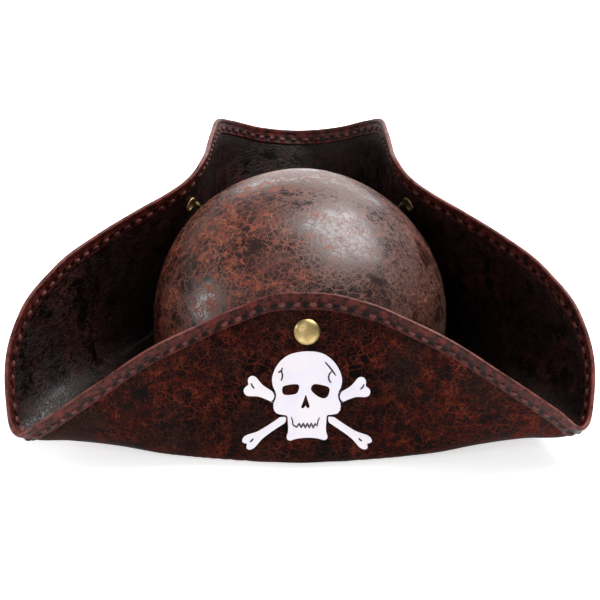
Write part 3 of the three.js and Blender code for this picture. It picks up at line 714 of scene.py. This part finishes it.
# A bone's end, out from the skull: along over the bone's length, across over its width.
BONE_SIDE = (
    (0.52, 0.46), (0.66, 0.49), (0.76, 0.58), (0.83, 0.76), (0.885, 0.92), (0.93, 0.97),
    (0.975, 0.86), (1.0, 0.57), (0.99, 0.28), (0.97, 0.08),
)
# Name, side, lean, degrees off level, then as shares of the badge's height: where the
# bone's line meets the skull's middle, below its top, the length from there, and the width.
BONES = (
    ("upper_left", -1, 1, 24, 0.62, 0.70, 0.106),
    ("upper_right", 1, 1, 24, 0.62, 0.70, 0.106),
    ("lower_left", -1, -1, 34, 0.51, 0.79, 0.078),
    ("lower_right", 1, -1, 34, 0.51, 0.79, 0.078),
)
SKULL_HEIGHT = 0.884
SKULL_WIDTH = 0.733
BADGE_SEAM = 1.1 * MM


def ribbon(points, width):
    """Outline of a line of a width that thins toward both ends."""
    p = np.asarray(points, float)
    along = unit(np.gradient(p, axis=0))
    across = np.stack((-along[:, 1], along[:, 0]), -1)
    share = np.linspace(0, 1, len(p))
    half = (width / 2 * (0.4 + 0.6 * np.sin(np.pi * share) ** 0.3))[:, None]
    return np.concatenate((p + across * half, (p - across * half)[::-1]))


def bone_outline(top, height, skull, bone):
    """Outline of one bone end from where its line leaves the skull's edge and a seam: a
    straight start, then the shaft, two knobs and the notch between them."""
    _, side, lean, slope, crossing, reach, thick = bone
    turn = np.radians(slope)
    along = np.array((side * np.cos(turn), lean * np.sin(turn)))
    across = np.array((-along[1], along[0]))
    start = np.array((BADGE_X, top - crossing * height))
    length, width = reach * height, thick * height

    def at(d, w):
        """Point at a distance along the bone's line and one across it."""
        return start + np.asarray(d)[..., None] * along + np.asarray(w)[..., None] * across

    scan = np.linspace(0, length, 500)
    sides = np.linspace(-0.5, 0.5, 9)
    leave = []
    for w in sides:
        p = at(scan, np.full_like(scan, w * width))
        apart = np.linalg.norm(p[:, None] - skull[None], axis=-1).min(1)
        leave.append(scan[within(p, skull) | (apart < BADGE_SEAM)].max())
    round_off = 0.22 * width * (np.abs(sides) * 2) ** 4
    inner_end = at(np.array(leave) + round_off, sides * width * 0.96)
    shape = np.array(BONE_SIDE)
    right = at(shape[:, 0] * length, shape[:, 1] * width)
    left = at(shape[:, 0] * length, -shape[:, 1] * width)[::-1]
    curve = curve_through(np.concatenate((inner_end, right, left)), 5)
    return np.concatenate((inner_end, curve[5 * (len(inner_end) - 1) + 1:-4]))


def build_badge(top, height, vinyl, ink):
    """Skull with cut eyes and nose, four bone ends and thin printed lines."""
    tall, wide = SKULL_HEIGHT * height, SKULL_WIDTH * height
    half = np.array(SKULL_HALF)
    full = np.concatenate((half, (half[1:] * np.array((-1, 1)))[::-1]))

    def on_skull(points):
        """Shares of the skull's width and height as lengths on the flap."""
        p = np.asarray(points, float)
        return np.stack((BADGE_X + p[:, 0] * wide, top - p[:, 1] * tall), -1)

    skull = on_skull(curve_through(full, 6))
    holes = [on_skull(curve_through(shape, 4)) for shape in (LEFT_EYE, RIGHT_EYE, NOSE)]
    under, over = LEATHER / 2 + VINYL_SEAT, LEATHER / 2 + VINYL
    piece = cut_sheet("skull_patch_vinyl", skull, holes, under, over)
    finish_piece(piece, [vinyl], ["skull_patch"])
    for bone in BONES:
        outline = bone_outline(top, height, skull, bone)
        piece = cut_sheet(f"bone_patch_{bone[0]}_vinyl", outline, (), under, over)
        finish_piece(piece, [vinyl], [f"bone_patch_{bone[0]}"])
    for name, points in SKULL_LINES.items():
        p = np.asarray(points, float)
        fine = np.linspace(0, len(p) - 1, (len(p) - 1) * 3 + 1)
        p = np.stack([np.interp(fine, np.arange(len(p)), p[:, k]) for k in range(2)], -1)
        outline = ribbon(on_skull(p), BADGE_LINE)
        piece = cut_sheet(f"badge_line_{name}", outline, (), over - INK_SUNK, over + INK_PROUD)
        finish_piece(piece, [ink], [])


# Finishes
class Wire:
    """A shader socket that can be added, taken away and multiplied, on either side."""

    def __init__(self, finish, socket):
        self.finish = finish
        self.socket = socket

    def __add__(self, other):
        return self.finish.maths("ADD", self, other)

    def __sub__(self, other):
        return self.finish.maths("SUBTRACT", self, other)

    def __rsub__(self, other):
        return self.finish.maths("SUBTRACT", other, self)

    def __mul__(self, other):
        return self.finish.maths("MULTIPLY", self, other)

    __radd__ = __add__
    __rmul__ = __mul__


class Finish:
    """The node tree of one finish."""

    def __init__(self, name):
        self.material = bpy.data.materials.new(name)
        self.material.use_nodes = True
        self.tree = self.material.node_tree
        self.tree.nodes.clear()

    def node(self, kind, settings, sockets, output=0):
        """Adds a node: its settings first, then the values or links of its sockets."""
        node = self.tree.nodes.new(kind)
        for name, value in settings.items():
            setattr(node, name, value)
        for name, value in sockets.items():
            if isinstance(value, Wire):
                self.tree.links.new(value.socket, node.inputs[name])
            else:
                node.inputs[name].default_value = value
        return Wire(self, node.outputs[output]) if len(node.outputs) else None

    def maths(self, operation, first, second):
        """Sum, difference or product of two values, of which one at least is a socket."""
        return self.node("ShaderNodeMath", {"operation": operation}, {0: first, 1: second})

    def where(self):
        """Coordinates in the hat's own frame."""
        return self.node("ShaderNodeTexCoord", {}, {}, "Object")

    def clamp(self, value):
        """The value, held between 0 and 1."""
        return self.node("ShaderNodeClamp", {}, {"Value": value})

    def attribute(self, name):
        """Number that mark_points stored on the piece."""
        return self.node("ShaderNodeAttribute", {"attribute_name": name}, {}, "Fac")

    def noise(self, where, scale, detail=2.0, roughness=0.5, output=0):
        """Cloudy noise from 0 to 1, or with output 1 three of them as a colour."""
        sockets = {"Vector": where, "Scale": scale, "Detail": detail, "Roughness": roughness}
        return self.node("ShaderNodeTexNoise", {}, sockets, output)

    def cells(self, where, scale, feature="DISTANCE_TO_EDGE", output=0):
        """Uneven cells: how far to their edges, or another of their features."""
        sockets = {"Vector": where, "Scale": scale}
        return self.node("ShaderNodeTexVoronoi", {"feature": feature}, sockets, output)

    def tone(self, colour):
        """Lightness of a colour, from its red, green and blue."""
        sockets = {0: colour, 1: (0.2126, 0.7152, 0.0722)}
        return self.node("ShaderNodeVectorMath", {"operation": "DOT_PRODUCT"}, sockets, "Value")

    def bent(self, where, scale, amount):
        """Coordinates pushed about by a noise, so that patterns on them wander."""
        push = self.noise(where, scale, output=1)
        half = (0.5, 0.5, 0.5)
        centred = self.node("ShaderNodeVectorMath", {"operation": "SUBTRACT"}, {0: push, 1: half})
        scaled = self.node("ShaderNodeVectorMath", {"operation": "SCALE"}, {0: centred, "Scale": amount})
        return self.node("ShaderNodeVectorMath", {"operation": "ADD"}, {0: where, 1: scaled})

    def step(self, value, low, high):
        """Smooth rise from 0 at the low value to 1 at the high one."""
        sockets = {"Value": value, "From Min": low, "From Max": high}
        return self.node("ShaderNodeMapRange", {"interpolation_type": "SMOOTHSTEP"}, sockets)

    def mix(self, factor, first, second):
        """Blend of two colours: the first where the factor is 0, the second where it is 1."""
        first = first if isinstance(first, Wire) else (*first, 1)
        second = second if isinstance(second, Wire) else (*second, 1)
        return self.node("ShaderNodeMix", {"data_type": "RGBA"}, {0: factor, 6: first, 7: second}, 2)

    def bump(self, height, strength, distance):
        """Normal of a surface raised by the height times the distance."""
        sockets = {"Strength": strength, "Distance": distance, "Height": height}
        return self.node("ShaderNodeBump", {}, sockets)

    def shade(self, sockets):
        """Closes the tree with a shader that has these sockets."""
        shader = self.node("ShaderNodeBsdfPrincipled", {}, sockets)
        self.node("ShaderNodeOutputMaterial", {}, {"Surface": shader})
        return self.material


def crackled_leather(
        name, coats, rusts, cell, chips, flakes, veins, gloss, pebble, relief, specular, lean):
    """Dark glossy topcoat over a rust base. The coat has split into cells of three sizes and
    the base shows along the splits; in worn patches whole cells have flaked off. In calm
    patches the splits are faint and greyish. Splits and flaked cells are grooves and lie
    duller than the coat. Wear grows toward -X by the lean, and calm toward +X."""
    f = Finish(name)
    where = f.where()
    bent = f.bent(f.bent(where, 55, 7 * MM), 240, 1.6 * MM)
    across = f.node("ShaderNodeSeparateXYZ", {}, {"Vector": where})
    patch = f.noise(where, 30, 4.0, 0.6) - across * lean
    drift = f.noise(where, 52, 3.0, 0.6)
    blotch = f.noise(where, 150, 3.0, 0.6)
    calm = f.step(f.noise(where, 27, 4.0, 0.6) + across * lean, 0.44, 0.66)
    broad = 1 - f.step(f.cells(bent, cell * 0.55), 0.0, 0.05)
    middle = 1 - f.step(f.cells(bent, cell), 0.0, 0.07)
    fine = 1 - f.step(f.cells(bent, cell * 2.1), 0.0, 0.12)
    lines = broad * f.step(patch, 0.38, 0.50) + middle * f.step(drift, 0.40, 0.50)
    lines = f.clamp(lines + fine * f.step(blotch, 0.44, 0.56) * 0.85)
    worn = f.step(patch + (blotch - 0.5) * 0.9, *chips) * (1 - calm * 0.7)
    chance = f.tone(f.cells(bent, cell * 2.6, "F1", "Color"))
    flaked = f.step(chance + (worn - 1) * 0.55, 0.46, 0.54)
    shown = f.clamp(worn * flaked * flakes + lines * (worn * 0.45 + veins) * (1 - calm * 0.2))
    ground = f.mix(f.step(drift, 0.38, 0.62), coats[0], coats[1])
    ground = f.mix(f.step(blotch + (patch - 0.5) * 0.4, 0.45, 0.66), ground, coats[2])
    warm = f.mix(f.step(f.noise(where, 210, 3.0, 0.6), 0.38, 0.64), rusts[0], rusts[1])
    colour = f.mix(shown, ground, f.mix(calm, warm, rusts[2]))
    grain = f.cells(bent, 900, "F1", "Distance")
    rough = gloss + shown * 0.25 + lines * 0.18 + (blotch - 0.5) * 0.2 + (drift - 0.5) * 0.2
    height = blotch * 0.3 - lines * 0.8 - worn * flaked * 0.3 - grain * pebble
    sockets = {"Base Color": colour, "Roughness": rough, "Normal": f.bump(height, relief, 0.45 * MM)}
    return f.shade({**sockets, "Specular IOR Level": specular})


def binding_leather():
    """Maroon strip, lighter along its rolled edge, partly rubbed and partly a painted highlight, and
    darkened in the pits by painted shade.
    """
    f = Finish("binding_maroon_leather")
    where = f.where()
    blotch = f.noise(where, 230, 4.0, 0.65)
    line = 1 - f.step(f.cells(f.bent(where, 150, 3 * MM), 420), 0.0, 0.1)
    dark, light = (0.010, 0.0020, 0.0018), (0.100, 0.0150, 0.0105)
    colour = f.mix(f.step(blotch, 0.38, 0.68), dark, light)
    colour = f.mix(line * 0.3, colour, (0.16, 0.035, 0.025))
    # Lighter along the top of the rolled edge: partly real rubbing, partly a painted highlight.
    rubbed_edge_and_highlight = f.attribute("worn") * f.step(f.noise(where, 120, 4.0, 0.6), 0.30, 0.62)
    colour = f.mix(rubbed_edge_and_highlight * 0.65, colour, (0.25, 0.080, 0.066))
    # Painted shade in the pits beside each stitch, where the thread draws the band in.
    colour = f.mix(f.clamp(f.attribute("pit_and_painted_shade") * 1.5), colour, (0.005, 0.0015, 0.0015))
    height = f.noise(where, 900, 2.0, 0.6) * 0.5 - line * 0.4 + blotch * 0.5
    bump = f.bump(height, 0.6, 0.35 * MM)
    sockets = {"Base Color": colour, "Roughness": 0.30 + blotch * 0.2, "Normal": bump}
    return f.shade({**sockets, "Specular IOR Level": 0.14})


def thread():
    """Maroon thread, paler where it is rubbed, with a fine twist."""
    f = Finish("stitch_thread")
    where = f.where()
    twist = f.noise(where, 1500, 2.0, 0.5)
    dark, light = (0.036, 0.008, 0.006), (0.115, 0.036, 0.029)
    colour = f.mix(f.step(f.noise(where, 170), 0.36, 0.64), dark, light)
    bump = f.bump(twist, 0.6, 0.3 * MM)
    sockets = {"Base Color": colour, "Roughness": 0.45 + twist * 0.15, "Normal": bump}
    return f.shade({**sockets, "Specular IOR Level": 0.2})


def antique_brass(name, bright, dull):
    """Dull gold brass with darker toning and fine scratches."""
    f = Finish(name)
    where = f.where()
    tone = f.noise(where, 330, 3.0, 0.6)
    colour = f.mix(f.step(tone, 0.35, 0.75), bright, dull)
    scratch = f.noise(f.bent(where, 500, 2 * MM), 2400, 2.0, 0.6)
    rough = 0.34 + tone * 0.18
    bump = f.bump(scratch, 0.12, 0.2 * MM)
    return f.shade({"Base Color": colour, "Metallic": 1.0, "Roughness": rough, "Normal": bump})


def badge_vinyl():
    """Satin white sheet, faintly clouded toward lavender and pink."""
    f = Finish("badge_white_vinyl")
    where = f.where()
    cloud = f.noise(where, 60, 2.0)
    colour = f.mix(f.step(cloud, 0.35, 0.65), (0.80, 0.77, 0.86), (0.855, 0.805, 0.85))
    grain = f.noise(where, 700, 2.0, 0.5)
    bump = f.bump(grain, 0.15, 0.2 * MM)
    return f.shade({"Base Color": colour, "Roughness": 0.42 + grain * 0.1, "Normal": bump})


def badge_ink():
    """Nearly black ink of the badge's lines."""
    f = Finish("badge_dark_ink")
    tone = f.noise(f.where(), 300, 2.0)
    colour = f.mix(tone, (0.02, 0.015, 0.018), (0.035, 0.025, 0.03))
    return f.shade({"Base Color": colour, "Roughness": 0.5 + tone * 0.1})


def pale_floor():
    """White sweep that glows a little, so that it stays white in the shade."""
    f = Finish("pale_floor")
    tone = f.noise(f.where(), 4, 2.0)
    colour = f.mix(tone, (0.93, 0.93, 0.93), (0.95, 0.95, 0.95))
    glow = {"Emission Color": (1, 1, 1, 1), "Emission Strength": 0.65}
    return f.shade({"Base Color": colour, "Roughness": 0.85, **glow})


# Stage
CAMERA_ELEVATION = 27
CAMERA_DISTANCE = 1.5
CAMERA_LENS = 141.75
CAMERA_SHIFT = 0.5 / 600
AIM = Vector((0, MIDDLE_Y, SEAM_Z + 37.5 * MM))
LAMP_AIM_HEIGHT = 0.06


def aim_at(thing, target):
    """Turns a camera or lamp toward a target."""
    thing.rotation_euler = (target - thing.location).to_track_quat("-Z", "Y").to_euler()


def set_camera():
    """Camera in front of the badge and above it."""
    data = bpy.data.cameras.new("photo_camera")
    data.lens = CAMERA_LENS
    data.sensor_width = 36
    data.clip_start = 0.05
    data.shift_x = CAMERA_SHIFT
    camera = bpy.data.objects.new("photo_camera", data)
    bpy.context.scene.collection.objects.link(camera)
    turn = np.radians(CAMERA_ELEVATION)
    camera.location = AIM + Vector((0, -np.cos(turn), np.sin(turn))) * CAMERA_DISTANCE
    aim_at(camera, AIM)
    bpy.context.scene.camera = camera


def softbox(name, place, aim, width, height, watts):
    """White rectangular lamp."""
    data = bpy.data.lights.new(name, "AREA")
    data.shape = "RECTANGLE"
    data.size = width
    data.size_y = height
    data.energy = watts
    lamp = bpy.data.objects.new(name, data)
    bpy.context.scene.collection.objects.link(lamp)
    lamp.location = place
    aim_at(lamp, Vector(aim))


def set_stage():
    """Floor, softboxes and the white surroundings."""
    corners = np.array(((-6, -6, 0), (6, -6, 0), (6, 6, 0), (-6, 6, 0)), float)
    floor = make_piece("pale_floor", corners, [(0, 1, 2, 3)], smooth=False)
    floor.data.materials.append(pale_floor())
    centre = (0, MIDDLE_Y, LAMP_AIM_HEIGHT)
    softbox("right_softbox", (0.65, 0.5, 1.4), centre, 1.2, 1.2, 50)
    softbox("back_panel", (0.1, 1.5, 0.45), centre, 1.2, 0.4, 5)
    softbox("left_strip", (-1.4, -0.1, 0.5), centre, 0.3, 0.6, 6)
    softbox("front_fill", (-0.5, -1.5, 1.1), centre, 0.8, 0.6, 7)
    world = bpy.data.worlds.new("studio_white")
    world.use_nodes = True
    background = world.node_tree.nodes["Background"]
    background.inputs["Color"].default_value = (1, 1, 1, 1)
    background.inputs["Strength"].default_value = 0.30
    bpy.context.scene.world = world
    bpy.context.scene.view_settings.view_transform = "Standard"


crown_finish = crackled_leather(
    "crown_crackled_leather",
    coats=((0.018, 0.0072, 0.0058), (0.050, 0.021, 0.018), (0.012, 0.009, 0.0075)),
    rusts=((0.17, 0.022, 0.0075), (0.25, 0.062, 0.025), (0.21, 0.088, 0.056)),
    cell=270, chips=(0.49, 0.64), flakes=0.42, veins=0.60,
    gloss=0.27, pebble=0.03, relief=0.14, specular=0.46, lean=1.2)
outer_finish = crackled_leather(
    "brim_outer_leather",
    coats=((0.0025, 0.0011, 0.0009), (0.0080, 0.0020, 0.0016), (0.0048, 0.0030, 0.0023)),
    rusts=((0.075, 0.0070, 0.0042), (0.120, 0.022, 0.010), (0.048, 0.018, 0.011)),
    cell=300, chips=(0.46, 0.66), flakes=0.20, veins=0.62,
    gloss=0.46, pebble=0.10, relief=0.6, specular=0.04, lean=-0.15)
# The inner face's lean of -0.2 lets wear grow toward +X; that extra wear is partly real and partly a
# painted sheen on the +X inner tip.
inner_finish = crackled_leather(
    "brim_inner_leather",
    coats=((0.0018, 0.0007, 0.0006), (0.0075, 0.0019, 0.0015), (0.0024, 0.0014, 0.0015)),
    rusts=((0.042, 0.0045, 0.003), (0.072, 0.015, 0.009), (0.030, 0.013, 0.010)),
    cell=330, chips=(0.50, 0.70), flakes=0.18, veins=0.34,
    gloss=0.36, pebble=0.5, relief=0.5, specular=0.20, lean=-0.2)
brass = antique_brass("antique_brass", (0.50, 0.37, 0.17), (0.33, 0.23, 0.09))
# A darker copy of the brass for the studs: painted shade.
painted_shade_brass = antique_brass("painted_shade_brass", (0.06, 0.042, 0.02), (0.03, 0.02, 0.012))
vinyl = badge_vinyl()
ink = badge_ink()

build_crown([crown_finish])
build_brim([outer_finish, inner_finish])
build_binding(binding_leather())
build_stitches(thread())
snap_places = [build_snap(*snap, brass, painted_shade_brass) for snap in SNAPS]
badge_top = snap_places[0][2] - SEAM_Z - CAP_DIAMETER / 2 - BADGE_DROP
build_badge(badge_top, badge_top + SEAM_HEIGHT - BADGE_FOOT, vinyl, ink)
set_camera()
set_stage()
